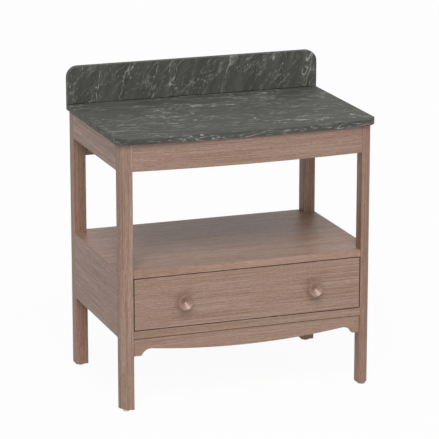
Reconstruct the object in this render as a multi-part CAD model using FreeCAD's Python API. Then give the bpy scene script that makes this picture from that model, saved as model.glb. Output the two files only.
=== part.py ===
"""Bow-fronted vanity unit: a stone top and upstand on a timber stand with an open shelf and one drawer.

Millimetres. +Z is up, the front faces -Y and +X is the right-hand side seen from the front.
While the pieces are made, x is 0 on the centre line, y is 0 at the front of the legs and z is 0
on the floor. At the end everything is moved so that the origin is the bottom centre of the box
that holds the whole unit.
"""
import FreeCAD
import Part
import math
import os

Vec = FreeCAD.Vector

# Stand
width_across_legs = 820.0
depth_across_legs = 524.0
leg_section = 40.0
leg_length = 831.5
edge_ease = 1.2
notch_gap = 0.2
slip = 0.1
match = 0.01

# Foot glides
glide_radius = 9.5
glide_height = 6.5
nail_radius = 1.2
nail_length = 20.0
nail_head_radius = 3.0
nail_head_height = 1.0
nail_head_sink = 0.8

# Stone
stone_thickness = 20.0
stone_overhang = 12.0
stone_side_overhang = 9.5
stone_bow = 15.0
stone_ease = 1.6
splash_height = 120.0
splash_corner_radius = 36.0
splash_seat_depth = 2.0
splash_joint_gap = 1.2
splash_reveal_height = 2.0
splash_reveal_depth = 3.0

# Rails under the stone
rail_height = 85.0
rear_rail_height = 147.0
rail_thickness = 22.0
rail_bow = 19.5
rail_end_recess = 1.5
wall_hole_radius = 3.25
wall_hole_inset = 70.0

# Corner blocks that bolt the legs to the rails
block_thickness = 25.0
block_height = 44.0
block_leg_gap = 2.0
bolt_radius = 3.0
bolt_bite = 22.0
bolt_tip = 4.0
nut_across_flats = 10.0
nut_height = 5.0

# Dowels
dowel_radius = 4.0
dowel_length = 30.0
pin_radius = 3.0
pin_length_share = 1.3
rail_dowel_shares = (0.25, 0.75)
panel_dowel_shares = (0.2, 0.7)
back_dowel_shares = (0.25, 0.75)
floor_pin_shares = (0.2, 0.5, 0.8)
apron_dowel_share = 0.4

# Drawer case
shelf_height = 437.0
shelf_thickness = 22.0
opening_height = 166.5
floor_thickness = 24.0
panel_thickness = 20.0
back_thickness = 12.0
back_recess = 6.0

# Shaped apron under the case
apron_thickness = 18.0
apron_recess = 2.5
apron_reveal_height = 2.0
apron_reveal_width = 1.2
apron_reveal_depth = 5.0
apron_foot_drop = 55.0
apron_foot_width = 24.0
cove_width = 38.5
cove_height = 20.0
apron_belly = 19.0
glue_block_size = 18.0
glue_block_length = 60.0
glue_block_place_shares = (-0.62, 0.0, 0.62)

# Drawer
front_thickness = 20.0
front_gap = 3.0
box_board = 15.0
box_lift = 18.0
box_headroom = 30.0
bottom_sheet = 6.0
bottom_lift = 10.0
groove_depth = 5.0
box_pin_shares = (0.35, 0.8)
stop_radius = 8.0
stop_length = 12.0
stop_gap = 0.3
stop_place_share = 0.6

# Knobs
knob_radius = 23.5
knob_projection = 28.0
knob_place = 158.0
knob_foot_radius = 15.0
knob_neck_radius = 13.0
knob_neck_reach = 6.0
knob_rim_reach = 23.5
knob_lip = 3.0
knob_dish_depth = 15.0
knob_flare_radius_share = 0.3
knob_flare_reach_share = 0.62
knob_screw_radius = 2.0
knob_screw_head_radius = 4.0
knob_screw_head_height = 2.5
knob_screw_bite = 8.0

# Telescopic runners
runner_space = 13.0
runner_height = 45.0
runner_sheet = 1.2
runner_setback = 3.0
runner_back_gap = 33.0
drawer_travel = 400.0
ball_radius = 1.5
race_depth = 0.5
race_clearance = 0.05
cage_sheet = 0.8
cage_clearance = 0.6
cage_end_gap = 5.0
cage_hole_clearance = 0.15
cage_edge = 1.0
balls_per_row = 6
batten_height = 70.0

# Countersunk screws
screw_radius = 1.8
screw_head_radius = 3.4
screw_head_depth = 2.0
screw_bite_share = 0.6
runner_screw_shares = (0.14, 0.5, 0.86)
batten_screw_shares = (0.15, 0.5, 0.85)
batten_screw_height_share = 0.82
front_screw_place_shares = (-0.85, -0.25, 0.25, 0.85)
front_screw_height_share = 0.55
back_screw_shares = (-0.75, -0.25, 0.25, 0.75)

# Places that follow from the sizes above
half_width = width_across_legs / 2
inner_half = half_width - leg_section
panel_inside = half_width - panel_thickness
rear = depth_across_legs
rear_leg_front = rear - leg_section
leg_bottom = glide_height
leg_top = leg_bottom + leg_length
rail_bottom = leg_top - rail_height
rail_back = rail_end_recess + rail_thickness
rear_rail_bottom = leg_top - rear_rail_height
shelf_top = leg_bottom + shelf_height
shelf_under = shelf_top - shelf_thickness
floor_top = shelf_under - opening_height
floor_under = floor_top - floor_thickness
back_outside = rear - back_recess
back_inside = back_outside - back_thickness
apron_back = apron_recess + apron_thickness
apron_foot = floor_under - apron_foot_drop
cove_top = apron_foot + cove_height
belly_low = cove_top - apron_belly
front_low = floor_top + front_gap
front_high = shelf_under - front_gap
front_middle = (front_low + front_high) / 2
box_low = floor_top + box_lift
box_high = shelf_under - box_headroom
box_height = box_high - box_low
box_half = inner_half - runner_space
box_rear = back_inside - stop_length - stop_gap
sheet_low = box_low + bottom_lift
sheet_high = sheet_low + bottom_sheet
batten_thickness = leg_section - panel_thickness
runner_middle_z = (box_low + box_high) / 2
runner_front = front_thickness + runner_setback
runner_length = back_inside - runner_back_gap - runner_front
stone_half = half_width + stone_side_overhang
corner_half = half_width + stone_overhang
stone_top = leg_top + stone_thickness
splash_seat = stone_top - splash_seat_depth
front_reach = max(knob_projection, stone_overhang + stone_bow)
middle_y = (rear - front_reach) / 2

# Runner section, measured from the leg's inner face towards the drawer
ball_gap = 2 * (ball_radius + race_clearance - race_depth)
outer_cage_web = runner_sheet + cage_clearance
middle_web = outer_cage_web + cage_sheet + cage_clearance
inner_cage_web = middle_web + runner_sheet + cage_clearance
inner_flange_start = inner_cage_web + cage_sheet + cage_clearance
inner_web = runner_space - runner_sheet
middle_flange_end = inner_web - cage_clearance
outer_flange_end = middle_flange_end - cage_clearance
outer_half_height = runner_height / 2
middle_half_height = outer_half_height - runner_sheet - ball_gap
inner_half_height = middle_half_height - runner_sheet - ball_gap
outer_ball_place = (middle_web + outer_flange_end) / 2
inner_ball_place = (inner_flange_start + middle_flange_end) / 2
outer_ball_height = middle_half_height + ball_gap / 2
inner_ball_height = inner_half_height + ball_gap / 2
cage_start = runner_front + drawer_travel / 4 + cage_end_gap
cage_length = runner_length - drawer_travel / 2 - 2 * cage_end_gap

ACROSS = Vec(1, 0, 0)
INTO = Vec(0, 1, 0)
UP = Vec(0, 0, 1)


def block(low, high):
    """A box between its lowest and highest corners."""
    size = Vec(*high) - Vec(*low)
    return Part.makeBox(size.x, size.y, size.z, Vec(*low))


def prism(corners, push):
    """A straight-sided outline pushed along one vector."""
    points = [Vec(*corner) for corner in corners]
    return Part.Face(Part.makePolygon(points + points[:1])).extrude(push)


def outline_prism(edges, push):
    """An outline of lines and arcs pushed along one vector."""
    return Part.Face(Part.Wire([edge.toShape() for edge in edges])).extrude(push)


def line(start, end):
    return Part.LineSegment(Vec(*start), Vec(*end))


def arc(start, through, end):
    return Part.Arc(Vec(*start), Vec(*through), Vec(*end))


def group(solids):
    return Part.makeCompound(list(solids))


def mirrored(shape):
    """The same piece for the left-hand side."""
    return shape.mirror(Vec(0, 0, 0), ACROSS)


def both_sides(solids):
    solids = list(solids)
    return solids + [mirrored(solid) for solid in solids]


def front_to_back(shape):
    """The same piece turned from the front corner to the rear corner."""
    return shape.mirror(Vec(0, rear / 2, 0), INTO)


def span(edge, axis):
    """Lowest and highest value of an edge along one axis."""
    return getattr(edge.BoundBox, axis + "Min"), getattr(edge.BoundBox, axis + "Max")


def lies_at(edge, axis, place):
    low, high = span(edge, axis)
    return abs(low - place) < match and abs(high - place) < match


def upright(edge):
    return edge.BoundBox.XLength < match and edge.BoundBox.YLength < match


def eased(shape, wanted, radius=edge_ease):
    """Round the edges that pass the test."""
    return shape.makeFillet(radius, [edge for edge in shape.Edges if wanted(edge)])


def bow_at(x, half_span, bow):
    """How far a round bow stands forward of its chord at x."""
    radius = (half_span ** 2 + bow ** 2) / (2 * bow)
    return bow - radius + math.sqrt(radius ** 2 - x ** 2)


def rod(point, direction, radius, half_length):
    """A round rod with its middle at a point."""
    start = point - direction * half_length
    return Part.makeCylinder(radius, 2 * half_length, start, direction)


def screw(point, direction, length, grow=0):
    """A countersunk screw whose head is flush at a point; grow widens it into its hole."""
    head = Part.makeCone(screw_head_radius + grow, screw_radius + grow, screw_head_depth, point, direction)
    shank = Part.makeCylinder(screw_radius + grow, length + grow, point, direction)
    return head.fuse(shank).removeSplitter()


def screws(places, grow=0):
    return [screw(point, direction, length, grow) for point, direction, length in places]


# Fixing places on the right-hand half; the left half mirrors them

def rail_dowels(grow=0):
    """Dowels between the top rails and the legs."""
    places = []
    for share in rail_dowel_shares:
        z = rail_bottom + rail_height * share
        places.append((Vec(inner_half, rail_end_recess + rail_thickness / 2, z), ACROSS))
        places.append((Vec(inner_half, rear - rail_thickness / 2, z), ACROSS))
        places.append((Vec(half_width - rail_thickness / 2, leg_section, z), INTO))
        places.append((Vec(half_width - rail_thickness / 2, rear_leg_front, z), INTO))
    return both_sides(rod(p, d, dowel_radius + grow, dowel_length / 2 + grow) for p, d in places)


def case_dowels(grow=0):
    """Dowels of the side panels, the apron and the back, and pins of the case floor."""
    places = []
    for share in panel_dowel_shares:
        z = floor_under + (shelf_top - floor_under) * share
        places.append((Vec(half_width - panel_thickness / 2, leg_section, z), INTO))
        places.append((Vec(half_width - panel_thickness / 2, rear_leg_front, z), INTO))
    for share in back_dowel_shares:
        z = floor_under + (shelf_under - floor_under) * share
        places.append((Vec(inner_half, (back_inside + back_outside) / 2, z), ACROSS))
    apron_z = floor_under - apron_foot_drop * apron_dowel_share
    places.append((Vec(inner_half, apron_recess + apron_thickness / 2, apron_z), ACROSS))
    rods = [rod(p, d, dowel_radius + grow, dowel_length / 2 + grow) for p, d in places]
    for share in floor_pin_shares:
        y = leg_section + (rear_leg_front - leg_section) * share
        point = Vec(panel_inside, y, (floor_under + floor_top) / 2)
        rods.append(rod(point, ACROSS, pin_radius + grow, panel_thickness * pin_length_share / 2 + grow))
    return both_sides(rods)


def box_pins(grow=0):
    """Dowel pins at the corners of the drawer box."""
    pins = []
    for share in box_pin_shares:
        for y in (front_thickness + box_board / 2, box_rear - box_board / 2):
            point = Vec(box_half - box_board, y, box_low + box_height * share)
            pins.append(rod(point, ACROSS, pin_radius + grow, box_board * pin_length_share / 2 + grow))
    return both_sides(pins)


def batten_screw_places():
    places = []
    for share in batten_screw_shares:
        y = leg_section + (rear_leg_front - leg_section) * share
        for side in (-1, 1):
            z = runner_middle_z + side * batten_height / 2 * batten_screw_height_share
            length = batten_thickness + panel_thickness * screw_bite_share
            places.append((Vec(inner_half, y, z), ACROSS, length))
    return places


def case_runner_screw_places():
    x = inner_half - runner_sheet
    length = runner_sheet + batten_thickness * screw_bite_share
    ys = [runner_front + runner_length * share for share in runner_screw_shares]
    return [(Vec(x, y, runner_middle_z), ACROSS, length) for y in ys]


def drawer_runner_screw_places():
    x = inner_half - inner_web
    length = runner_sheet + box_board * screw_bite_share
    ys = [runner_front + runner_length * share for share in runner_screw_shares]
    return [(Vec(x, y, runner_middle_z), -ACROSS, length) for y in ys]


def front_screw_places():
    places = []
    for share in front_screw_place_shares:
        for side in (-1, 1):
            z = runner_middle_z + side * box_height / 2 * front_screw_height_share
            length = box_board + front_thickness * screw_bite_share
            places.append((Vec(box_half * share, front_thickness + box_board, z), -INTO, length))
    return places


def back_screw_places():
    z = (floor_under + floor_top) / 2
    length = back_thickness + leg_section * screw_bite_share
    return [(Vec(inner_half * share, back_outside, z), -INTO, length) for share in back_screw_shares]


def knob_screw(x, grow=0):
    """A machine screw from inside the drawer into a knob."""
    head_face = front_thickness + box_board
    length = head_face + knob_screw_bite + grow
    shank = Part.makeCylinder(knob_screw_radius + grow, length, Vec(x, head_face, front_middle), -INTO)
    if grow:
        return shank
    head = Part.makeCylinder(
        knob_screw_head_radius, knob_screw_head_height, Vec(x, head_face, front_middle), INTO
    )
    return shank.fuse(head)


def knob_centres():
    return (knob_place - inner_half, inner_half - knob_place)


# Foot glides

def glide_centres():
    near = leg_section / 2
    return [Vec(inner_half + near, y, 0) for y in (near, rear - near)]


def glide_nail(centre, grow=0):
    head = Part.makeCylinder(nail_head_radius + grow, nail_head_height, centre + UP * nail_head_sink, UP)
    shank = Part.makeCylinder(nail_radius + grow, nail_length + grow, centre + UP * nail_head_sink, UP)
    return head.fuse(shank).removeSplitter()


def foot_glide(centre):
    disc = Part.makeCylinder(glide_radius, glide_height, centre, UP)
    disc = eased(disc, lambda edge: lies_at(edge, "Z", 0), edge_ease)
    well = Part.makeCylinder(nail_head_radius + slip, nail_head_sink + nail_head_height, centre, UP)
    return disc.cut(well).cut(glide_nail(centre, slip))


# Legs and top rails

def corner_bolt(grow=0):
    """The bolt from the inner corner of the right front leg through its corner block."""
    corner = Vec(inner_half, leg_section, rail_bottom + rail_height / 2)
    inward = (INTO - ACROSS).normalize()
    start = corner - inward * (bolt_bite + grow)
    length = bolt_bite + block_leg_gap + block_thickness + nut_height + bolt_tip + grow
    return Part.makeCylinder(bolt_radius + grow, length, start, inward)


def all_corners(front, back):
    return both_sides([front, front_to_back(back)])


def leg_holes():
    bolts = all_corners(corner_bolt(slip), corner_bolt(slip))
    nails = both_sides(glide_nail(centre, slip) for centre in glide_centres())
    return group(bolts + nails + rail_dowels(slip) + case_dowels(slip))


def front_leg():
    """Right front leg: a quarter-round post, flat on its inner and rear faces."""
    slant = leg_section * math.sqrt(0.5)
    front_edge = (inner_half, 0, leg_bottom)
    side_edge = (half_width, leg_section, leg_bottom)
    corner = (inner_half, leg_section, leg_bottom)
    round_face = arc(front_edge, (inner_half + slant, leg_section - slant, leg_bottom), side_edge)
    post = outline_prism([round_face, line(side_edge, corner), line(corner, front_edge)], UP * leg_length)
    post = eased(post, upright)
    return post.cut(leg_holes())


def rear_leg():
    """Right rear leg: a square post."""
    post = block((inner_half, rear_leg_front, leg_bottom), (half_width, rear, leg_top))
    return eased(post, upright).cut(leg_holes())


def front_rail():
    """Front rail: bowed at the front, flat at the back."""
    left = (-inner_half, rail_end_recess, rail_bottom)
    right = (inner_half, rail_end_recess, rail_bottom)
    crown = (0, rail_end_recess - rail_bow, rail_bottom)
    back_right = (inner_half, rail_back, rail_bottom)
    back_left = (-inner_half, rail_back, rail_bottom)
    edges = [arc(left, crown, right), line(right, back_right), line(back_right, back_left), line(back_left, left)]
    rail = outline_prism(edges, UP * rail_height)
    rail = eased(rail, lambda e: lies_at(e, "Z", rail_bottom) and span(e, "Y")[0] < rail_end_recess - match)
    return rail.cut(group(rail_dowels(slip)))


def rear_rail():
    """Rear rail, deeper than the others, with two holes for fixing the unit to a wall."""
    rail = block((-inner_half, rear - rail_thickness, rear_rail_bottom), (inner_half, rear, leg_top))
    rail = eased(rail, lambda e: lies_at(e, "Z", rear_rail_bottom) and e.BoundBox.XLength > match)
    z = rear_rail_bottom + rear_rail_height / 2
    centre = Vec(inner_half - wall_hole_inset, rear - rail_thickness / 2, z)
    holes = both_sides([rod(centre, INTO, wall_hole_radius, rail_thickness)])
    return rail.cut(group(holes + rail_dowels(slip)))


def side_rail():
    """Right side rail, flush with the outside of the legs."""
    rail = block((half_width - rail_thickness, leg_section, rail_bottom), (half_width, rear_leg_front, leg_top))
    rail = eased(rail, lambda e: lies_at(e, "Z", rail_bottom) and lies_at(e, "X", half_width))
    return rail.cut(group(rail_dowels(slip)))


def corner_block(rail_face):
    """Right front corner block, across the corner behind a leg, from rail to rail."""
    side_face = half_width - rail_thickness
    near = block_leg_gap * math.sqrt(2)
    far = (block_leg_gap + block_thickness) * math.sqrt(2)
    rail_x = inner_half - leg_section + rail_face
    side_y = leg_section - inner_half + side_face
    low = rail_bottom + (rail_height - block_height) / 2
    corners = [
        (rail_x - near, rail_face, low),
        (side_face, side_y + near, low),
        (side_face, side_y + far, low),
        (rail_x - far, rail_face, low),
    ]
    return prism(corners, UP * block_height).cut(corner_bolt(slip))


def corner_nut():
    """Hexagon nut on the inside of the right front corner block."""
    corner = Vec(inner_half, leg_section, rail_bottom + rail_height / 2)
    inward = (INTO - ACROSS).normalize()
    along = (INTO + ACROSS).normalize()
    seat = corner + inward * (block_leg_gap + block_thickness)
    reach = nut_across_flats / math.sqrt(3)
    turns = [math.pi / 3 * step for step in range(6)]
    corners = [seat + along * (reach * math.cos(t)) + UP * (reach * math.sin(t)) for t in turns]
    return prism(corners, inward * nut_height).cut(corner_bolt(slip / 2))


# Stone

def countertop():
    """Stone slab with a bowed front, round front corners and square rear corners.

    The corners are round about the legs and wider than the slab, so its sides cut them at an arris.
    """
    end = bow_at(corner_half, inner_half, stone_bow) + stone_overhang
    front_left = (-corner_half, -end, leg_top)
    front_right = (corner_half, -end, leg_top)
    crown = (0, -stone_overhang - stone_bow, leg_top)
    rear_right = (corner_half, rear, leg_top)
    rear_left = (-corner_half, rear, leg_top)
    edges = [
        arc(front_left, crown, front_right),
        line(front_right, rear_right),
        line(rear_right, rear_left),
        line(rear_left, front_left),
    ]
    slab = outline_prism(edges, UP * stone_thickness)
    slab = eased(slab, lambda e: upright(e) and span(e, "Y")[1] < 0, leg_section + stone_overhang)
    slab = slab.common(block((-stone_half, -rear, leg_top), (stone_half, rear, stone_top)))
    rims = (leg_top, stone_top)
    slab = eased(
        slab,
        lambda e: any(lies_at(e, "Z", z) for z in rims) and not lies_at(e, "Y", rear),
        stone_ease,
    )
    seat_front = rear - stone_thickness - splash_joint_gap
    seat = block((-stone_half, seat_front, splash_seat), (stone_half, rear, stone_top))
    return slab.cut(seat)


def backsplash():
    """Stone upstand in a shallow seat along the rear of the top, with round top corners.

    A shadow line is cut along the foot of its face.
    """
    low = (-stone_half, rear - stone_thickness, splash_seat)
    slab = block(low, (stone_half, rear, stone_top + splash_height))
    tops = stone_top + splash_height
    slab = eased(
        slab,
        lambda e: lies_at(e, "Z", tops) and e.BoundBox.XLength < match,
        splash_corner_radius,
    )
    slab = eased(slab, lambda e: lies_at(e, "Y", rear - stone_thickness), stone_ease)
    reveal_back = rear - stone_thickness + splash_reveal_depth
    reveal = block(low, (stone_half, reveal_back, stone_top + splash_reveal_height))
    return slab.cut(reveal)


# Drawer case

def leg_notches():
    """Room for the legs in the boards that run around them."""
    size = leg_section + notch_gap
    front = block((half_width - size, -size, 0), (half_width + size, size, leg_top))
    return group(all_corners(front, front))


def shelf():
    """Shelf board, mitred to the side panels and notched around the legs."""
    board = block((-half_width, 0, shelf_under), (half_width, rear, shelf_top))
    wedge = prism(
        [
            (half_width, 0, shelf_top),
            (half_width, 0, shelf_under),
            (panel_inside, 0, shelf_under),
        ],
        INTO * rear,
    )
    board = board.cut(group(both_sides([wedge]) + [leg_notches()]))
    return eased(board, lambda e: lies_at(e, "Y", 0) and e.BoundBox.ZLength < match)


def case_floor():
    """Bottom board of the case; its front edge shows below the drawer."""
    board = block((-panel_inside, 0, floor_under), (panel_inside, back_inside, floor_top))
    board = board.cut(leg_notches())
    board = eased(board, lambda e: lies_at(e, "Y", 0) and e.BoundBox.ZLength < match)
    return board.cut(group(case_dowels(slip) + screws(back_screw_places(), slip)))


def side_panel():
    """Right side panel of the case, mitred to the shelf along its top."""
    corners = [
        (half_width, leg_section, floor_under),
        (half_width, leg_section, shelf_top),
        (panel_inside, leg_section, shelf_under),
        (panel_inside, leg_section, floor_under),
    ]
    panel = prism(corners, INTO * (rear_leg_front - leg_section))
    panel = eased(panel, lambda e: lies_at(e, "Z", floor_under) and lies_at(e, "X", half_width))
    return panel.cut(group(case_dowels(slip) + screws(batten_screw_places(), slip)))


def back_panel():
    """Back of the case between the rear legs."""
    panel = block((-inner_half, back_inside, floor_under), (inner_half, back_outside, shelf_under))
    return panel.cut(group(case_dowels(slip) + screws(back_screw_places(), slip)))


def bottom_apron():
    """Shaped apron: a square foot and a cove at each leg, and a low belly between them.

    A narrow shadow line is cut in its face below the case floor and beside the legs.
    """
    y = apron_recess
    foot_end = inner_half - apron_foot_width
    cove_end = foot_end - cove_width
    bend = math.sqrt(0.5)
    cove_x = cove_end + cove_width * bend
    cove_z = apron_foot + cove_height * bend
    edges = [
        line((-inner_half, y, floor_under), (inner_half, y, floor_under)),
        line((inner_half, y, floor_under), (inner_half, y, apron_foot)),
        line((inner_half, y, apron_foot), (foot_end, y, apron_foot)),
        arc((foot_end, y, apron_foot), (cove_x, y, cove_z), (cove_end, y, cove_top)),
        arc((cove_end, y, cove_top), (0, y, belly_low), (-cove_end, y, cove_top)),
        arc((-cove_end, y, cove_top), (-cove_x, y, cove_z), (-foot_end, y, apron_foot)),
        line((-foot_end, y, apron_foot), (-inner_half, y, apron_foot)),
        line((-inner_half, y, apron_foot), (-inner_half, y, floor_under)),
    ]
    apron = outline_prism(edges, INTO * apron_thickness)
    reveal_back = y + apron_reveal_depth
    top_reveal = block((-inner_half, y, floor_under - apron_reveal_height), (inner_half, reveal_back, floor_under))
    end_reveal = block((inner_half - apron_reveal_width, y, apron_foot), (inner_half, reveal_back, floor_under))
    return apron.cut(group(case_dowels(slip) + [top_reveal] + both_sides([end_reveal])))


def glue_blocks():
    """Square blocks that hold the apron to the underside of the case floor."""
    blocks = []
    for share in glue_block_place_shares:
        x = inner_half * share - glue_block_length / 2
        low = (x, apron_back, floor_under - glue_block_size)
        high = (x + glue_block_length, apron_back + glue_block_size, floor_under)
        blocks.append(block(low, high))
    return blocks


# Drawer

def drawer_front():
    """Inset drawer front, flush with the legs."""
    half = inner_half - front_gap
    board = block((-half, 0, front_low), (half, front_thickness, front_high))
    board = eased(board, lambda e: lies_at(e, "Y", 0))
    holes = screws(front_screw_places(), slip) + [knob_screw(x, slip) for x in knob_centres()]
    return board.cut(group(holes))


def bottom_sheet_space(grow=0):
    """The sheet that closes the drawer box from below; grow widens it into its groove."""
    half = box_half - box_board + groove_depth + grow
    front = front_thickness + box_board - groove_depth - grow
    back = box_rear - box_board + groove_depth + grow
    return block((-half, front, sheet_low - grow), (half, back, sheet_high + grow))


def drawer_side():
    """Right side of the drawer box."""
    board = block((box_half - box_board, front_thickness, box_low), (box_half, box_rear, box_high))
    holes = screws(drawer_runner_screw_places(), slip) + box_pins(slip)
    return board.cut(group(holes + [bottom_sheet_space(slip)]))


def box_end(front):
    """A cross board of the drawer box with its front face at the given depth."""
    half = box_half - box_board
    board = block((-half, front, box_low), (half, front + box_board, box_high))
    holes = screws(front_screw_places(), slip) + [knob_screw(x, slip) for x in knob_centres()]
    return board.cut(group(holes + box_pins(slip) + [bottom_sheet_space(slip)]))


def knob(x):
    """Turned knob: a flared neck and a hollow cone in the face, inside a thin round lip."""
    rim_flat = knob_radius - knob_lip
    flare_x = knob_neck_radius + (knob_radius - knob_neck_radius) * knob_flare_radius_share
    flare_y = -knob_neck_reach - (knob_rim_reach - knob_neck_reach) * knob_flare_reach_share
    lip_bend = knob_lip / 2 * math.sqrt(0.5)
    lip_x = knob_radius - knob_lip / 2
    lip_y = -knob_projection + knob_lip / 2
    edges = [
        line((0, 0, 0), (knob_foot_radius, 0, 0)),
        line((knob_foot_radius, 0, 0), (knob_neck_radius, -knob_neck_reach, 0)),
        arc((knob_neck_radius, -knob_neck_reach, 0), (flare_x, flare_y, 0), (knob_radius, -knob_rim_reach, 0)),
        line((knob_radius, -knob_rim_reach, 0), (knob_radius, lip_y, 0)),
        arc((knob_radius, lip_y, 0), (lip_x + lip_bend, lip_y - lip_bend, 0), (lip_x, -knob_projection, 0)),
        line((lip_x, -knob_projection, 0), (rim_flat, -knob_projection + knob_lip / 2, 0)),
        line((rim_flat, -knob_projection + knob_lip / 2, 0), (0, knob_dish_depth - knob_projection, 0)),
        line((0, knob_dish_depth - knob_projection, 0), (0, 0, 0)),
    ]
    half_section = Part.Face(Part.Wire([edge.toShape() for edge in edges]))
    turned = half_section.revolve(Vec(0, 0, 0), INTO, 360)
    turned.translate(Vec(x, 0, front_middle))
    return turned.cut(knob_screw(x, slip))


def drawer_stops():
    """Rubber buffers on the back panel that the closed drawer meets."""
    x = inner_half * stop_place_share
    buffer = Part.makeCylinder(stop_radius, stop_length, Vec(x, back_inside, runner_middle_z), -INTO)
    return both_sides([eased(buffer, lambda e: lies_at(e, "Y", back_inside - stop_length))])


# Runners, on the right-hand side

def channel(web, flange_start, flange_end, half_height):
    """A U section of sheet steel along the runner; the web starts at the given distance."""
    y_low = runner_front
    y_high = runner_front + runner_length
    z = runner_middle_z
    pieces = [
        block(
            (inner_half - web - runner_sheet, y_low, z - half_height),
            (inner_half - web, y_high, z + half_height),
        )
    ]
    for low in (-half_height, half_height - runner_sheet):
        pieces.append(
            block(
                (inner_half - flange_end, y_low, z + low),
                (inner_half - flange_start, y_high, z + low + runner_sheet),
            )
        )
    return pieces[0].multiFuse(pieces[1:]).removeSplitter()


def races(place, height):
    """The two round tracks that a pair of ball rows runs in."""
    return group(
        rod(
            Vec(inner_half - place, runner_front + runner_length / 2, runner_middle_z + side * height),
            INTO,
            ball_radius + race_clearance,
            runner_length,
        )
        for side in (-1, 1)
    )


def runner_outer():
    member = channel(0, 0, outer_flange_end, outer_half_height)
    member = member.cut(races(outer_ball_place, outer_ball_height))
    return member.cut(group(screws(case_runner_screw_places(), slip)))


def runner_middle():
    member = channel(middle_web, middle_web, middle_flange_end, middle_half_height)
    member = member.cut(races(outer_ball_place, outer_ball_height))
    return member.cut(races(inner_ball_place, inner_ball_height))


def runner_inner():
    member = channel(inner_web, inner_flange_start, runner_space, inner_half_height)
    member = member.cut(races(inner_ball_place, inner_ball_height))
    return member.cut(group(screws(drawer_runner_screw_places(), slip)))


def ball_cage(web, ball_place, ball_height):
    """A folded cage with two rows of steel balls, between two members of a runner."""
    y_high = cage_start + cage_length
    z = runner_middle_z
    reach = ball_place + ball_radius + cage_edge
    half = ball_height + cage_sheet / 2
    cage = block((inner_half - web - cage_sheet, cage_start, z - half), (inner_half - web, y_high, z + half))
    balls = []
    holes = []
    for side in (-1, 1):
        row = z + side * ball_height
        strip_low = (inner_half - reach, cage_start, row - cage_sheet / 2)
        strip_high = (inner_half - web, y_high, row + cage_sheet / 2)
        cage = cage.fuse(block(strip_low, strip_high))
        for step in range(balls_per_row):
            y = cage_start + cage_length * (step + 0.5) / balls_per_row
            centre = Vec(inner_half - ball_place, y, row)
            balls.append(Part.makeSphere(ball_radius, centre))
            holes.append(rod(centre, UP, ball_radius + cage_hole_clearance, cage_sheet))
    cage = cage.removeSplitter().cut(group(holes))
    return group([cage] + balls)


def runner_batten():
    """Batten on the side panel that brings the runner out to the inner face of the legs."""
    z = runner_middle_z
    batten = block(
        (inner_half, leg_section, z - batten_height / 2),
        (panel_inside, rear_leg_front, z + batten_height / 2),
    )
    holes = screws(batten_screw_places(), slip) + screws(case_runner_screw_places(), slip)
    return batten.cut(group(holes))


def paired(parts, name, shape):
    """Keep the right-hand piece and its mirror image."""
    parts[name + "_right"] = shape
    parts[name + "_left"] = mirrored(shape)


def build_parts():
    parts = {}
    parts["countertop"] = countertop()
    parts["backsplash"] = backsplash()
    paired(parts, "leg_front", front_leg())
    paired(parts, "leg_rear", rear_leg())
    parts["top_rail_front"] = front_rail()
    parts["top_rail_rear"] = rear_rail()
    paired(parts, "top_rail", side_rail())
    parts["corner_blocks"] = group(all_corners(corner_block(rail_back), corner_block(rail_thickness)))
    parts["corner_bolts"] = group(all_corners(corner_bolt(), corner_bolt()))
    parts["corner_nuts"] = group(all_corners(corner_nut(), corner_nut()))
    parts["rail_dowels"] = group(rail_dowels())
    parts["shelf"] = shelf()
    parts["case_floor"] = case_floor()
    paired(parts, "side_panel", side_panel())
    parts["back_panel"] = back_panel()
    parts["back_panel_screws"] = group(screws(back_screw_places()))
    parts["bottom_apron"] = bottom_apron()
    parts["apron_glue_blocks"] = group(glue_blocks())
    parts["case_dowels"] = group(case_dowels())
    parts["foot_glides"] = group(both_sides(foot_glide(centre) for centre in glide_centres()))
    parts["glide_nails"] = group(both_sides(glide_nail(centre) for centre in glide_centres()))
    parts["drawer_front"] = drawer_front()
    parts["drawer_box_front"] = box_end(front_thickness)
    paired(parts, "drawer_side", drawer_side())
    parts["drawer_back"] = box_end(box_rear - box_board)
    parts["drawer_bottom"] = bottom_sheet_space()
    parts["drawer_pins"] = group(box_pins())
    parts["drawer_front_screws"] = group(screws(front_screw_places()))
    parts["drawer_stops"] = group(drawer_stops())
    for side, x in zip(("left", "right"), knob_centres()):
        parts["knob_" + side] = knob(x)
    parts["knob_screws"] = group(knob_screw(x) for x in knob_centres())
    paired(parts, "runner_batten", runner_batten())
    parts["batten_screws"] = group(both_sides(screws(batten_screw_places())))
    paired(parts, "runner_outer", runner_outer())
    paired(parts, "runner_middle", runner_middle())
    paired(parts, "runner_inner", runner_inner())
    paired(parts, "ball_cage_outer", ball_cage(outer_cage_web, outer_ball_place, outer_ball_height))
    paired(parts, "ball_cage_inner", ball_cage(inner_cage_web, inner_ball_place, inner_ball_height))
    parts["runner_case_screws"] = group(both_sides(screws(case_runner_screw_places())))
    parts["runner_drawer_screws"] = group(both_sides(screws(drawer_runner_screw_places())))
    return parts


os.makedirs("parts", exist_ok=True)
for name, shape in build_parts().items():
    shape.translate(Vec(0, -middle_y, 0))
    shape.exportStep("parts/" + name + ".step")
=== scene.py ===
"""Looks of a bow-fronted vanity unit: stained oak, dark veined stone, steel runners and a birch drawer box.

Metres, in the frame's own axes: +Z is up and the front faces -Y.
"""
import bmesh
import bpy
import math
from mathutils import Matrix, Vector


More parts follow.
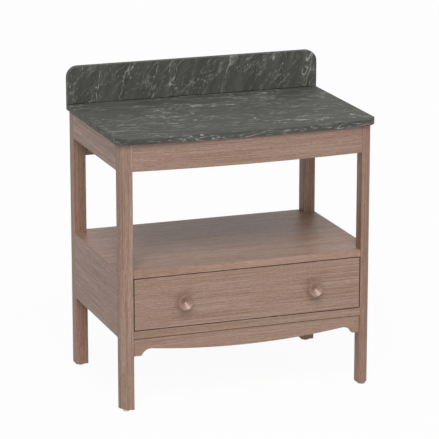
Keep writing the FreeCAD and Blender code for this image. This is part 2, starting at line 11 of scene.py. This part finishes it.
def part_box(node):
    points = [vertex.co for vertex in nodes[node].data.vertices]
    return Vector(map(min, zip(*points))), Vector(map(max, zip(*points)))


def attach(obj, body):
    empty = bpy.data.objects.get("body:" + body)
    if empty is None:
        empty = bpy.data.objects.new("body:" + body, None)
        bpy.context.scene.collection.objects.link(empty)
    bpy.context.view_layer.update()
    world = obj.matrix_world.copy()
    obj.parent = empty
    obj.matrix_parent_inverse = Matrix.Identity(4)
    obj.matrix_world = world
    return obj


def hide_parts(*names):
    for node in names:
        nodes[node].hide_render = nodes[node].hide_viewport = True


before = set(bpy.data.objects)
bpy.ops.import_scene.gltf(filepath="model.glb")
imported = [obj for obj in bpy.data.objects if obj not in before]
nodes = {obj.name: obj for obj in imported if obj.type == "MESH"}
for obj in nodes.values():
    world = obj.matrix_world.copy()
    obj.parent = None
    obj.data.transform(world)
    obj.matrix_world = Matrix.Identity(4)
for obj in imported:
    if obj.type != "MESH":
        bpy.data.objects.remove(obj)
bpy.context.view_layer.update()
scene = bpy.context.scene

MM = 0.001
ACROSS, INTO, UP = "X", "Y", "Z"
white = "#ffffff"

# Camera: at the front, left of the middle and above the top; in degrees and metres, its lens in millimetres
camera_azimuth = -19.74
camera_elevation = 14.98
camera_distance = 8.0
camera_target = Vector((-6.9 * MM, -2.0 * MM, 512.9 * MM))
camera_lens = 209.3
camera_sensor = 36.0

# Light: for each lamp its azimuth, elevation and spread in degrees, and its strength
lamps = {
    "key": (-23, 48, 36, 1.87),
    "overhead": (0, 80, 90, 0.63),
    "front_fill": (0, 15, 90, 1.25),
}
sky_strength = 0.04
floor_size = 60.0
floor_white_share = 0.95
floor_albedo = "#f0f0ee"

# Stained oak: colours from the darkest streak to the lightest, and their steps from the middle of the pattern
oak_tones = ("#785a49", "#8b6e5e", "#967b6c", "#a89085")
# Darker, redder oak: on the two rear legs it is painted shade, for the shade they stand in under the worktop;
# on the front right leg and the knobs it gives a darker, redder tone
red_and_shaded_oak_tones = ("#745241", "#866654", "#917261", "#a28676")
# Lighter oak for the shelf: painted light, standing in for the light that falls on its top
painted_light_shelf_tones = ("#7e5f4c", "#937362", "#9e8070", "#b09588")
oak_tone_steps = (-0.18, -0.04, 0.03, 0.17)
oak_pore_colour = "#5b4030"

# Stained oak: length along the grain and width across it, in millimetres or as a share of the fleck's own
oak_band = (420, 34)
oak_line_length = 400
oak_fleck_length = 11
oak_fleck_width = 2.3
oak_dash_length_share = 4
oak_pore_length_share = 1.5
oak_pore_width_share = 0.6

# Stained oak: how much bands, lines, dashes and flecks count in its colour, and its pores and gloss
oak_weights = (0.12, 0.4, 0.24, 0.24)
oak_pore_limits = {"From Min": 0.60, "From Max": 0.74}
oak_pore_share = 0.4
oak_fleck_relief_share = 0.4
oak_relief = {"Strength": 0.1, "Distance": 0.15 * MM}
oak_roughness = 0.53
oak_roughness_swing = 0.05
oak_ior = 1.5
knob_roughness = 0.42
knob_lacquer = {"Coat Weight": 0.6, "Coat Roughness": 0.28}

# Oak boards: how the grain shows on each kind, with fleck, width and depth in millimetres
front = {"deep": 60, "contrast": 1.05}
calm_front = {**front, "contrast": 0.8}
side = {"fleck": 22, "width": 4, "contrast": 1.3}
post = {"fleck": 16, "width": 2.6, "contrast": 1.2}
# Posts in the darker, redder oak: painted shade on the rear legs
red_and_shaded_post = {**post, "tones": red_and_shaded_oak_tones}
# The shelf takes the lighter tones as painted light on its top
shelf = {"fleck": 14, "deep": 10, "contrast": 0.85, "dull": 0.46, "tones": painted_light_shelf_tones}

# Boards: how far each one's pattern starts from the last one's, and where each timber starts counting
board_step = Vector((3.7, 5.3, 7.9))
first_oak = 1
first_birch = 21
first_plywood = 41

# Birch: length and width of its bands and flecks in millimetres, what each counts, colours and gloss
birch_band = (500, 22)
birch_fleck = (22, 1.4)
birch_weights = (0.6, 0.4)
birch_stops = (0.36, 0.64)
birch_tones = ("#c0a686", "#dac5a9")
plywood_tones = ("#b7967b", "#ceb197")
birch_gloss = {"To Min": 0.45, "To Max": 0.6}
birch_relief = {"Strength": 0.1, "Distance": 0.1 * MM}

# Dark marble: colours of the smoky ground and of the veins, and gloss
smoke_tones = [(0.24, "#3b3b37"), (0.50, "#454541"), (0.80, "#585853")]
vein_colour = "#a5a59f"
stone_gloss = {"To Min": 0.58, "To Max": 0.70}
stone_shine = {"IOR": 1.42, "Specular IOR Level": 0.35}

# Dark marble: length and width in millimetres of the veins' wandering, their beads and the patches of flecks
wander_size = (75, 75)
bead_size = (17, 17)
patch_size = (80, 60)
bead_limits = {"From Min": 0.40, "From Max": 0.66, "To Min": 0.12}
patch_limits = {"From Min": 0.44, "From Max": 0.58}
fleck_limits = {"From Min": 0.62, "From Max": 0.72}

# Dark marble: width of veins and hairs in steps of their noise, and how strongly hairs and flecks show
vein_width = 0.012
hair_width = 0.022
hair_turn_share = 3
hair_strength_share = 0.35
fleck_strength_share = 0.6
palest_share = 0.8

# Worktop and upstand: the way their veins run, and their sizes in millimetres
worktop_veins = {
    "turn": (0, 0, math.radians(4)), "start": (11.9, 6.2, 2.8), "bend": 55, "clouds": (220, 40),
    "veins": (380, 75), "hairs": (260, 45), "flecks": (34, 7), "strength": 1.25, "flat": 3,
}
upstand_veins = {
    "turn": (0, math.radians(-15), 0), "start": (8.3, 2.9, 1.7), "bend": 38, "clouds": (260, 20),
    "veins": (520, 60), "hairs": (260, 34), "flecks": (13, 3.2), "strength": 1.0, "flat": 1,
}

# Worktop: place and width in millimetres of a painted highlight down the upright edge at each front corner,
# and how strong it is
highlight_stripe_corner = (419.5, -223.8)
highlight_stripe_width = 2.3
highlight_stripe_strength = 0.9

# Zinc-plated steel: length and width of its streaks in millimetres, colours and gloss
zinc_streak = (60, 1.2)
zinc_tones = [(0.3, "#a9abac"), (0.7, "#d0d1cf")]
zinc_gloss = {"To Min": 0.22, "To Max": 0.38}

# Nylon and rubber: colours, size of the grit in millimetres and roughness
nylon = {"tones": ("#c2c4c0", "#d3d5d1"), "grit": 1.5, "rough": 0.5}
rubber = {"tones": ("#26262a", "#333337"), "grit": 1.2, "rough": 0.75}
grit_stops = (0.3, 0.7)
grit_roughness_swing = 0.06

# Screws: radius and depth below the face of the head, in millimetres, from the head to the shank
countersunk_head = ((3.4, 0), (1.8, 2.0))
pan_head = ((2.8, 0), (3.7, 0.5), (4.0, 1.2), (4.0, 2.5), (2.0, 2.5))
screw_point = 3.0
screw_point_share = 0.25
screw_sides = 32
screw_turn = 37
cross_reach_share = 0.6
cross_cells = 3
cross_depth = 1.1
cross_taper = 0.12
merge_distance = 0.01
sharp_angle = 30


def linear(colour):
    """Turn an sRGB hex colour into the linear colour of a shader."""
    values = [int(colour[i:i + 2], 16) / 255 for i in (1, 3, 5)]
    return (*[v / 12.92 if v <= 0.04045 else ((v + 0.055) / 1.055) ** 2.4 for v in values], 1)


def add(tree, kind, feeds=None, stops=None, **settings):
    """Add one shader node; feeds are its inputs: values, sockets, or nodes whose first output is linked."""
    node = tree.nodes.new("ShaderNode" + kind)
    for name, value in settings.items():
        setattr(node, name, value)
    for name, value in (feeds or {}).items():
        if isinstance(value, bpy.types.Node):
            value = value.outputs[0]
        if isinstance(value, bpy.types.NodeSocket):
            tree.links.new(value, node.inputs[name])
        else:
            node.inputs[name].default_value = value
    if stops:
        elements = node.color_ramp.elements
        while len(elements) < len(stops):
            elements.new(1)
        for element, (place, colour) in zip(elements, stops):
            element.position = place
            element.color = linear(colour)
    return node


def new_material(name):
    """An empty material, its nodes, and the object's own coordinates to draw patterns on."""
    material = bpy.data.materials.new(name)
    material.use_nodes = True
    tree = material.node_tree
    tree.nodes.clear()
    return material, tree, add(tree, "TexCoord").outputs["Object"]


def per_metre(long_axis, along, across, deep=None):
    """Scale of a pattern from its sizes in millimetres: along one axis, across it, and into the board."""
    sizes = {ACROSS: across, INTO: deep or across, UP: across, long_axis: along}
    return [1 / (sizes[axis] * MM) for axis in (ACROSS, INTO, UP)]


def fibres(tree, place, scale, start, turn=(0, 0, 0), **noise):
    """A noise turned and drawn out along one axis; start moves it so that no two boards match."""
    turned = add(tree, "Mapping", {"Vector": place, "Rotation": turn})
    drawn = add(tree, "Mapping", {"Vector": turned, "Location": start, "Scale": scale})
    return add(tree, "TexNoise", {"Vector": drawn, "Scale": 1, **noise})


def thin_lines(tree, noise, width):
    """Thin lines along which a noise passes its middle value."""
    centred = add(tree, "Math", {0: noise, 1: 0.5}, operation="SUBTRACT")
    off_line = add(tree, "Math", {0: centred}, operation="ABSOLUTE")
    return add(tree, "MapRange", {
        "Value": off_line, "From Min": 0, "From Max": width, "To Min": 1, "To Max": 0,
    }, interpolation_type="SMOOTHSTEP")


def weighed(tree, patterns, weights):
    """Sum of several patterns, each times its weight."""
    total = 0
    for pattern, weight in zip(patterns, weights):
        total = add(tree, "Math", {0: pattern, 1: weight, 2: total}, operation="MULTIPLY_ADD")
    return total


def stained_oak(
    name, grain, start, tones=oak_tones, fleck=oak_fleck_length, width=oak_fleck_width, deep=None,
    contrast=1, dull=oak_roughness, lacquer=None,
):
    """Oak, sawn straight, stained brown, sanded and sprayed with satin lacquer.

    It gives long thin lines along the board, short flecks between them, small dark pores and a low
    sheen that turns grey-white at a flat angle. Lines, flecks and pores are drawn two to four times as
    wide as real ones, so that they show.
    """
    material, tree, place = new_material("stained_oak_satin_lacquered_" + name)
    dash = fleck * oak_dash_length_share
    pore = fleck * oak_pore_length_share
    pore_width = width * oak_pore_width_share
    bands = fibres(tree, place, per_metre(grain, *oak_band), start, Detail=2)
    lines = fibres(tree, place, per_metre(grain, oak_line_length, width, deep), start, Detail=1)
    dashes = fibres(tree, place, per_metre(grain, dash, width, deep), start, Detail=1)
    flecks = fibres(tree, place, per_metre(grain, fleck, width, deep), start, Detail=1)
    pores = fibres(tree, place, per_metre(grain, pore, pore_width, deep), start, Detail=1)
    mixed = weighed(tree, (bands, lines, dashes, flecks), oak_weights)
    stops = [0.5 + step / contrast for step in oak_tone_steps]
    tone = add(tree, "ValToRGB", {"Fac": mixed}, list(zip(stops, tones)))
    pits = add(tree, "MapRange", {"Value": pores, **oak_pore_limits})
    depth = add(tree, "Math", {0: pits, 1: oak_pore_share}, operation="MULTIPLY")
    blend = {"Factor": depth, 6: tone, 7: linear(oak_pore_colour)}
    shade = add(tree, "Mix", blend, data_type="RGBA").outputs[2]
    swing = {"To Min": dull - oak_roughness_swing, "To Max": dull + oak_roughness_swing}
    sheen = add(tree, "MapRange", {"Value": flecks, **swing})
    relief = add(tree, "Math", {0: flecks, 1: oak_fleck_relief_share, 2: pits}, operation="MULTIPLY_ADD")
    bump = add(tree, "Bump", {"Height": relief, **oak_relief}, invert=True)
    finish = {"Base Color": shade, "Roughness": sheen, "Normal": bump, "IOR": oak_ior, **(lacquer or {})}
    add(tree, "OutputMaterial", {"Surface": add(tree, "BsdfPrincipled", finish)})
    return material


def turned_oak(name, start):
    """The same oak turned on a lathe, with more coats of lacquer, so the knobs shine."""
    return stained_oak(name, INTO, start, red_and_shaded_oak_tones, dull=knob_roughness, lacquer=knob_lacquer)


def pale_birch(name, grain, start, tones):
    """Birch, planed and sealed or sanded: pale, fine and nearly even, with a faint fleck."""
    material, tree, place = new_material(name)
    bands = fibres(tree, place, per_metre(grain, *birch_band), start, Detail=3, Distortion=0.3)
    fleck = fibres(tree, place, per_metre(grain, *birch_fleck), start, Detail=3)
    mixed = weighed(tree, (bands, fleck), birch_weights)
    tone = add(tree, "ValToRGB", {"Fac": mixed}, list(zip(birch_stops, tones)))
    sheen = add(tree, "MapRange", {"Value": fleck, **birch_gloss})
    bump = add(tree, "Bump", {"Height": fleck, **birch_relief})
    finish = {"Base Color": tone, "Roughness": sheen, "Normal": bump}
    add(tree, "OutputMaterial", {"Surface": add(tree, "BsdfPrincipled", finish)})
    return material


def veined_stone(name, long_axis, turn, start, bend, clouds, veins, hairs, flecks, strength, flat):
    """Dark grey marble, sawn and honed.

    It gives smoky bands, thin pale veins that wander mostly one way and are beaded with brighter
    spots, fainter hairs that cross them, patches of short flecks, and a dull gloss. Bend is how far the
    veins wander; clouds, veins, hairs and flecks have their length along the veins and their width
    across them, all in millimetres. Strength is how strongly the veins show. Flat is how much thinner
    they are up and down, measured from the face of the worktop. A pale stripe down the upright edge at
    each front corner is a painted highlight of that edge catching the light; it is drawn twice as wide
    as a real one, so that it shows.
    """
    material, tree, spot = new_material("dark_marble_honed_" + name)
    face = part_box("countertop")[1][2]
    layers = {"Vector": spot, "Location": (0, 0, face * (1 - flat)), "Scale": (1, 1, flat)}
    place = add(tree, "Mapping", layers).outputs[0]
    winding = fibres(tree, place, per_metre(long_axis, *wander_size), start, Detail=3, Roughness=0.55)
    wander = winding.outputs["Color"]
    far = (bend * MM, bend * MM, bend * MM)
    bent = add(tree, "VectorMath", {0: wander, 1: far, 2: place}, operation="MULTIPLY_ADD").outputs[0]
    smoke = fibres(tree, bent, per_metre(long_axis, *clouds), start, turn, Detail=3)
    paths = fibres(tree, bent, per_metre(long_axis, *veins), start, turn, Detail=1, Roughness=0.4)
    crossing = [angle * hair_turn_share for angle in turn]
    threads = fibres(tree, bent, per_metre(long_axis, *hairs), start, crossing, Detail=2)
    dashes = fibres(tree, place, per_metre(long_axis, *flecks), start, turn, Detail=1)
    beads = fibres(tree, place, per_metre(long_axis, *bead_size), start, Detail=2)
    patches = fibres(tree, place, per_metre(long_axis, *patch_size), start, Detail=1)
    beaded = add(tree, "MapRange", {"Value": beads, **bead_limits})
    patchy = add(tree, "MapRange", {"Value": patches, **patch_limits})
    main = add(tree, "Math", {0: thin_lines(tree, paths, vein_width), 1: beaded}, operation="MULTIPLY")
    hair = add(tree, "Math", {0: thin_lines(tree, threads, hair_width), 1: beaded}, operation="MULTIPLY")
    specks = add(tree, "MapRange", {"Value": dashes, **fleck_limits})
    short = add(tree, "Math", {0: specks, 1: patchy}, operation="MULTIPLY")
    # Painted highlight: a pale upright stripe at each front corner of the worktop, standing in for the edge
    # catching the light
    axes = add(tree, "SeparateXYZ", {"Vector": spot}).outputs
    either_side = add(tree, "Math", {0: axes["X"]}, operation="ABSOLUTE")
    in_plan = add(tree, "CombineXYZ", {"X": either_side, "Y": axes["Y"]})
    corner = (highlight_stripe_corner[0] * MM, highlight_stripe_corner[1] * MM, 0)
    away = add(tree, "VectorMath", {0: in_plan, 1: corner}, operation="DISTANCE").outputs["Value"]
    fading = {"From Max": highlight_stripe_width * MM, "To Min": highlight_stripe_strength, "To Max": 0}
    painted_edge_highlight = add(tree, "MapRange", {"Value": away, **fading})
    weights = (strength, strength * hair_strength_share, strength * fleck_strength_share, 1)
    pale = weighed(tree, (main, hair, short, painted_edge_highlight), weights)
    share = add(tree, "Math", {0: pale, 1: palest_share}, operation="MINIMUM")
    ground = add(tree, "ValToRGB", {"Fac": smoke}, smoke_tones)
    blend = {"Factor": share, 6: ground, 7: linear(vein_colour)}
    shade = add(tree, "Mix", blend, data_type="RGBA").outputs[2]
    polish = add(tree, "MapRange", {"Value": smoke, **stone_gloss})
    finish = {"Base Color": shade, "Roughness": polish, **stone_shine}
    add(tree, "OutputMaterial", {"Surface": add(tree, "BsdfPrincipled", finish)})
    return material


def zinc_steel(name, long_axis):
    """Steel sheet and wire, zinc plated: bright, with faint streaks from rolling, drawn wider to show."""
    material, tree, place = new_material("zinc_plated_steel_" + name)
    streaks = fibres(tree, place, per_metre(long_axis, *zinc_streak), (0, 0, 0), Detail=3)
    tone = add(tree, "ValToRGB", {"Fac": streaks}, zinc_tones)
    gloss = add(tree, "MapRange", {"Value": streaks, **zinc_gloss})
    finish = {"Base Color": tone, "Metallic": 1, "Roughness": gloss}
    add(tree, "OutputMaterial", {"Surface": add(tree, "BsdfPrincipled", finish)})
    return material


def moulded(name, tones, grit, rough):
    """Nylon or rubber out of a mould: dull, with an even grit, drawn coarse enough to show."""
    material, tree, place = new_material(name)
    grain = fibres(tree, place, per_metre(UP, grit, grit), (0, 0, 0), Detail=2)
    tone = add(tree, "ValToRGB", {"Fac": grain}, list(zip(grit_stops, tones)))
    swing = {"To Min": rough - grit_roughness_swing, "To Max": rough + grit_roughness_swing}
    dull = add(tree, "MapRange", {"Value": grain, **swing})
    finish = {"Base Color": tone, "Roughness": dull}
    add(tree, "OutputMaterial", {"Surface": add(tree, "BsdfPrincipled", finish)})
    return material


def finish_with(names, material):
    """Give each of these nodes one material, in place of what it came with."""
    for name in names:
        slots = nodes[name].data.materials
        slots.clear()
        slots.append(material)


# Oak boards: each has its own stretch of grain, along its length
oak_boards = {
    "top_rail_front": (ACROSS, front),
    "case_floor": (ACROSS, calm_front),
    "bottom_apron": (ACROSS, calm_front),
    "drawer_front": (ACROSS, front),
    "top_rail_rear": (ACROSS, front),
    "top_rail_left": (INTO, side),
    "top_rail_right": (INTO, side),
    "side_panel_left": (INTO, side),
    "side_panel_right": (INTO, side),
    "leg_front_left": (UP, post),
    # The rear legs take the darker, redder oak as painted shade; the front right leg takes the same darker,
    # redder tone
    "leg_rear_left": (UP, red_and_shaded_post),
    "leg_front_right": (UP, red_and_shaded_post),
    "leg_rear_right": (UP, red_and_shaded_post),
    "shelf": (ACROSS, shelf),
}
for count, (board, (grain, look)) in enumerate(oak_boards.items(), first_oak):
    finish_with([board], stained_oak(board, grain, board_step * count, **look))
for count, knob in enumerate(("knob_left", "knob_right"), first_oak):
    finish_with([knob], turned_oak(knob, board_step * -count))

# Birch boards, blocks and dowels, and two sheets of birch plywood
birch_boards = {
    "drawer_side_left": INTO,
    "drawer_side_right": INTO,
    "drawer_back": ACROSS,
    "drawer_box_front": ACROSS,
    "corner_blocks": ACROSS,
    "apron_glue_blocks": ACROSS,
    "runner_batten_left": INTO,
    "runner_batten_right": INTO,
    "rail_dowels": UP,
    "case_dowels": UP,
    "drawer_pins": ACROSS,
}
for count, (board, grain) in enumerate(birch_boards.items(), first_birch):
    planed = pale_birch("birch_planed_and_sealed_" + board, grain, board_step * count, birch_tones)
    finish_with([board], planed)
for count, sheet in enumerate(("back_panel", "drawer_bottom"), first_plywood):
    sanded = pale_birch("birch_plywood_sanded_" + sheet, ACROSS, board_step * count, plywood_tones)
    finish_with([sheet], sanded)

finish_with(["countertop"], veined_stone("top", ACROSS, **worktop_veins))
finish_with(["backsplash"], veined_stone("upstand", UP, **upstand_veins))

# Runners, fixings, glides and stops
steel_runs = zinc_steel("rolled_sheet", INTO)
steel_turned = zinc_steel("drawn_wire", UP)
runner_words = ("runner_outer", "runner_middle", "runner_inner", "ball_cage")
fixing_words = ("screws", "bolts", "nuts", "nails")
finish_with([name for name in nodes if name.startswith(runner_words)], steel_runs)
finish_with([name for name in nodes if name.endswith(fixing_words)], steel_turned)
finish_with(["foot_glides"], moulded("nylon_moulded", **nylon))
finish_with(["drawer_stops"], moulded("rubber_moulded", **rubber))


# Screws with a cross in the head, where a person sees them

def solid_boxes(node):
    """Lowest and highest corner of each separate solid in a node."""
    copy = bmesh.new()
    copy.from_mesh(nodes[node].data)
    bmesh.ops.remove_doubles(copy, verts=copy.verts, dist=merge_distance * MM)
    left = set(copy.verts)
    boxes = []
    while left:
        solid = [left.pop()]
        for vert in solid:
            near = [edge.other_vert(vert) for edge in vert.link_edges]
            new = [other for other in near if other in left]
            left.difference_update(new)
            solid.extend(new)
        low = [min(vert.co[axis] for vert in solid) for axis in range(3)]
        high = [max(vert.co[axis] for vert in solid) for axis in range(3)]
        boxes.append((low, high))
    copy.free()
    return sorted(boxes)


def crossed_screw(head, length):
    """One screw along -Z, with the face of its head at the origin."""
    build = bmesh.new()
    radius = head[0][0] * MM
    reach = radius * cross_reach_share
    bmesh.ops.create_circle(build, radius=radius, segments=screw_sides)
    rim = list(build.edges)
    bmesh.ops.create_grid(build, x_segments=cross_cells, y_segments=cross_cells, size=reach)
    corners = [f for f in build.faces if min(abs(v) for v in f.calc_center_median().xy) > reach / 2]
    bmesh.ops.delete(build, geom=corners, context="FACES")
    cross = list(build.faces)
    outline = [edge for edge in build.edges if edge.is_boundary]
    bmesh.ops.triangle_fill(build, use_beauty=True, edges=rim + outline)
    bmesh.ops.recalc_face_normals(build, faces=build.faces)
    if cross[0].normal.z < 0:
        bmesh.ops.reverse_faces(build, faces=build.faces)
    bmesh.ops.inset_region(build, faces=cross, thickness=cross_taper * MM, depth=-cross_depth * MM)
    shank = head[-1][0]
    point = (shank * screw_point_share, length / MM)
    rings = list(head[1:]) + [(shank, length / MM - screw_point), point]
    last = head[0]
    for ring in rings:
        made = bmesh.ops.extrude_edge_only(build, edges=rim)["geom"]
        verts = [item for item in made if isinstance(item, bmesh.types.BMVert)]
        edges = [item for item in made if isinstance(item, bmesh.types.BMEdge)]
        rim = [edge for edge in edges if set(edge.verts) <= set(verts)]
        grow = ring[0] / last[0]
        bmesh.ops.scale(build, vec=(grow, grow, 1), verts=verts)
        bmesh.ops.translate(build, vec=(0, 0, (last[1] - ring[1]) * MM), verts=verts)
        last = ring
    bmesh.ops.edgeloop_fill(build, edges=rim)
    bmesh.ops.recalc_face_normals(build, faces=build.faces)
    return build


def crossed_screws(node, body, head):
    """A crossed screw for each solid of a node; the heads face the rear and stand at different turns."""
    whole = bmesh.new()
    to_rear = Matrix.Rotation(math.radians(-90), 4, "X")
    for count, (low, high) in enumerate(solid_boxes(node)):
        one = crossed_screw(head, high[1] - low[1])
        place = Matrix.Translation(((low[0] + high[0]) / 2, high[1], (low[2] + high[2]) / 2))
        turn = to_rear @ Matrix.Rotation(math.radians(screw_turn * count), 4, "Z")
        bmesh.ops.transform(one, matrix=place @ turn, verts=one.verts)
        single = bpy.data.meshes.new("one_screw")
        one.to_mesh(single)
        one.free()
        whole.from_mesh(single)
        bpy.data.meshes.remove(single)
    mesh = bpy.data.meshes.new("crossed_" + node)
    whole.to_mesh(mesh)
    whole.free()
    mesh.shade_smooth()
    mesh.set_sharp_from_angle(angle=math.radians(sharp_angle))
    mesh.materials.append(steel_turned)
    piece = bpy.data.objects.new("crossed_" + node, mesh)
    scene.collection.objects.link(piece)
    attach(piece, body)
    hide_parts(node)


crossed_screws("back_panel_screws", "stand", countersunk_head)
crossed_screws("drawer_front_screws", "drawer", countersunk_head)
crossed_screws("knob_screws", "drawer", pan_head)


# Stage: a pale floor that fades into white

def seen_rays(tree):
    """1 for the rays that see a surface straight, in a mirror or through glass."""
    path = add(tree, "LightPath").outputs
    seen = add(tree, "Math", {0: path["Is Camera Ray"], 1: path["Is Glossy Ray"]}, operation="MAXIMUM")
    return add(tree, "Math", {0: seen, 1: path["Is Transmission Ray"]}, operation="MAXIMUM")


floor_material = bpy.data.materials.new("pale_studio_floor")
floor_material.use_nodes = True
tree = floor_material.node_tree
tree.nodes.clear()
lit = add(tree, "BsdfDiffuse", {"Color": linear(floor_albedo)})
bright = add(tree, "Emission", {"Color": linear(white), "Strength": 1})
share = add(tree, "Math", {0: seen_rays(tree), 1: floor_white_share}, operation="MULTIPLY")
add(tree, "OutputMaterial", {"Surface": add(tree, "MixShader", {"Fac": share, 1: lit, 2: bright})})
floor_mesh = bpy.data.meshes.new("floor")
build = bmesh.new()
bmesh.ops.create_grid(build, x_segments=1, y_segments=1, size=floor_size / 2)
build.to_mesh(floor_mesh)
build.free()
floor_mesh.materials.append(floor_material)
floor = bpy.data.objects.new("floor", floor_mesh)
scene.collection.objects.link(floor)

world = bpy.data.worlds.new("studio")
scene.world = world
world.use_nodes = True
tree = world.node_tree
tree.nodes.clear()
sky = add(tree, "Background", {"Color": linear(white), "Strength": sky_strength})
backdrop = add(tree, "Background", {"Color": linear(white), "Strength": 1})
add(tree, "OutputWorld", {"Surface": add(tree, "MixShader", {"Fac": seen_rays(tree), 1: sky, 2: backdrop})})


def towards(azimuth, elevation):
    """Direction from the object to a place round it, by the same angles as the camera."""
    a, e = math.radians(azimuth), math.radians(elevation)
    return Vector((math.sin(a) * math.cos(e), -math.cos(a) * math.cos(e), math.sin(e)))


for name, (azimuth, elevation, spread, energy) in lamps.items():
    lamp = bpy.data.lights.new(name, "SUN")
    lamp.energy = energy
    lamp.angle = math.radians(spread)
    light = bpy.data.objects.new(name, lamp)
    light.rotation_euler = towards(azimuth, elevation).to_track_quat("Z", "Y").to_euler()
    scene.collection.objects.link(light)

camera_data = bpy.data.cameras.new("camera")
camera_data.lens = camera_lens
camera_data.sensor_width = camera_sensor
camera = bpy.data.objects.new("camera", camera_data)
back = towards(camera_azimuth, camera_elevation)
camera.location = camera_target + back * camera_distance
camera.rotation_euler = back.to_track_quat("Z", "Y").to_euler()
scene.collection.objects.link(camera)
bpy.context.scene.camera = camera
bpy.context.scene.view_settings.view_transform = "Standard"
